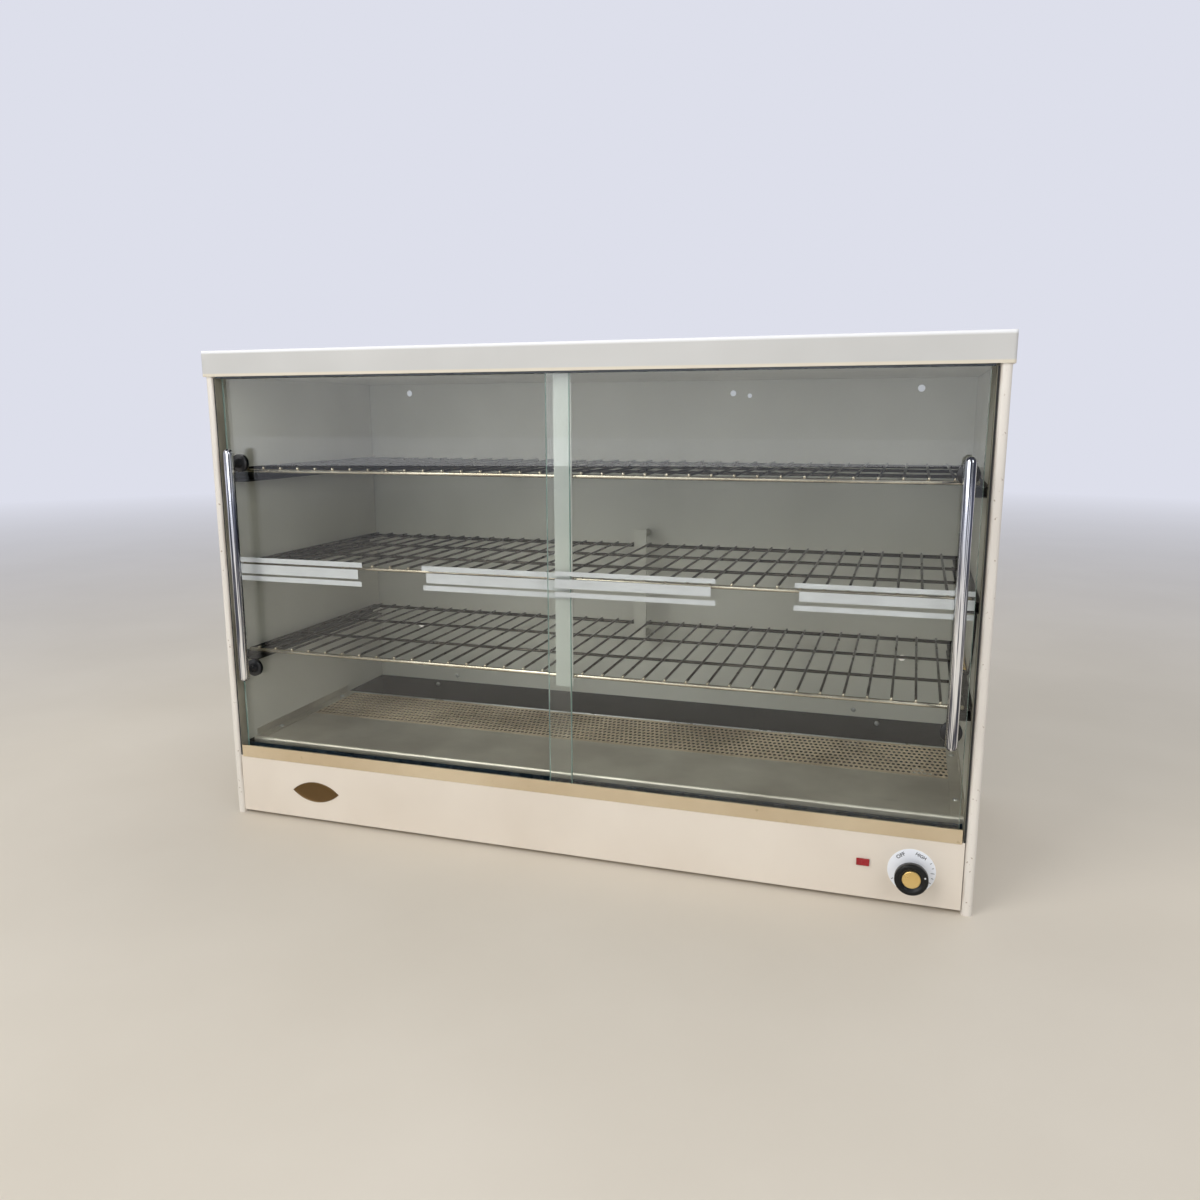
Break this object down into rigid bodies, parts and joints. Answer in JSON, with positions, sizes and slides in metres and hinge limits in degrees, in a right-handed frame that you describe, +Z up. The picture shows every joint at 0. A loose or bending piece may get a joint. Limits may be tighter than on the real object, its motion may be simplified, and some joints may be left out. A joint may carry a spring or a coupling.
{
  "type": "hot food display case",
  "caption": "Countertop heated food display case with sliding glass doors, wire shelves, a perforated floor and a control knob",
  "frame": {"origin": "under the middle of the object's box, on the table top", "axes": "x to the right seen from the front, y from the front to the back, z up"},
  "size_m": [0.919, 0.395, 0.594],
  "materials": {
    "cream_paint": "warm off-white baked enamel, brushed by hand, chipped brown at front edges",
    "liner_paint": "off-white baked enamel inside the cabinet",
    "polished_steel": "polished stainless strip",
    "floor_steel": "dull stainless floor, perforated at the back",
    "zinc_steel": "zinc-plated sheet in the base",
    "dark_steel": "charcoal heat-darkened sheet",
    "sheath": "dark sheath of a tubular heating element",
    "track_plastic": "black extruded plastic track",
    "gasket_rubber": "black rubber",
    "door_glass": "clear toughened glass with printed stripes",
    "handle_chrome": "polished chrome",
    "black_nylon": "black nylon",
    "knob_plastic": "black moulded plastic",
    "dial_metal": "satin aluminium with printed ticks",
    "brass": "brass",
    "badge_bronze": "bronze-coloured plate",
    "shelf_chrome": "chromed steel wire, dulled",
    "screw_steel": "plated screw heads",
    "mineral_wool": "mineral wool slab",
    "ceramic": "glazed ceramic",
    "lamp_red": "red neon lamp lens",
    "wire_pvc": "insulated wires"
  },
  "bodies": {
    "case": {"left_side_panel": "cream_paint", "right_side_panel": "cream_paint", "top_cover": "cream_paint", "header_rail": "cream_paint", "back_panel": "cream_paint", "front_fascia": "cream_paint", "left_liner": "liner_paint", "right_liner": "liner_paint", "roof_liner": "liner_paint", "shelf_supports": "liner_paint", "front_strut": "liner_paint", "rear_strut": "liner_paint", "polished_trim": "polished_steel", "floor_plate": "floor_steel", "vent_grille": "floor_steel", "floor_angles": "floor_steel", "base_pan": "zinc_steel", "base_side_plates": "zinc_steel", "element_brackets": "zinc_steel", "lower_back_panel": "dark_steel", "rear_trough": "dark_steel", "front_element": "sheath", "rear_element": "sheath", "bottom_track": "track_plastic", "top_track": "track_plastic", "left_jamb_gasket": "gasket_rubber", "right_jamb_gasket": "gasket_rubber", "cable_gland": "black_nylon", "gland_nut": "black_nylon", "thermostat_body": "knob_plastic", "lamp_body": "knob_plastic", "thermostat_capillary": "knob_plastic", "dial_plate": "dial_metal", "earth_stud": "brass", "thermostat_bush": "brass", "thermostat_phial": "brass", "badge_plate": "badge_bronze", "upper_shelf": "shelf_chrome", "middle_shelf": "shelf_chrome", "lower_shelf": "shelf_chrome", "case_screws": "screw_steel", "floor_screws": "screw_steel", "bush_nut": "screw_steel", "side_insulation": "mineral_wool", "roof_insulation": "mineral_wool", "element_ceramics": "ceramic", "terminal_block": "ceramic", "lamp_lens": "lamp_red", "wiring_loom": "wire_pvc"},
    "left_door": {"left_glass": "door_glass", "left_handle": "handle_chrome", "left_handle_posts": "black_nylon", "left_handle_fixings": "black_nylon"},
    "right_door": {"right_glass": "door_glass", "right_handle": "handle_chrome", "right_handle_posts": "black_nylon", "right_handle_fixings": "black_nylon"},
    "knob": {"knob": "knob_plastic", "knob_insert": "badge_bronze", "knob_spindle": "screw_steel"}
  },
  "joints": [
    {"name": "left_door_slide", "type": "slide", "parent": "case", "child": "left_door", "axis": [1, 0, 0], "range_m": [0, 0.195]},
    {"name": "right_door_slide", "type": "slide", "parent": "case", "child": "right_door", "axis": [1, 0, 0], "range_m": [-0.195, 0.004]},
    {"name": "knob_turn", "type": "hinge", "parent": "case", "child": "knob", "pos_m": [0.3943, -0.1745, 0.0423], "axis": [0, 1, 0], "range_deg": [-94, 176]}
  ]
}
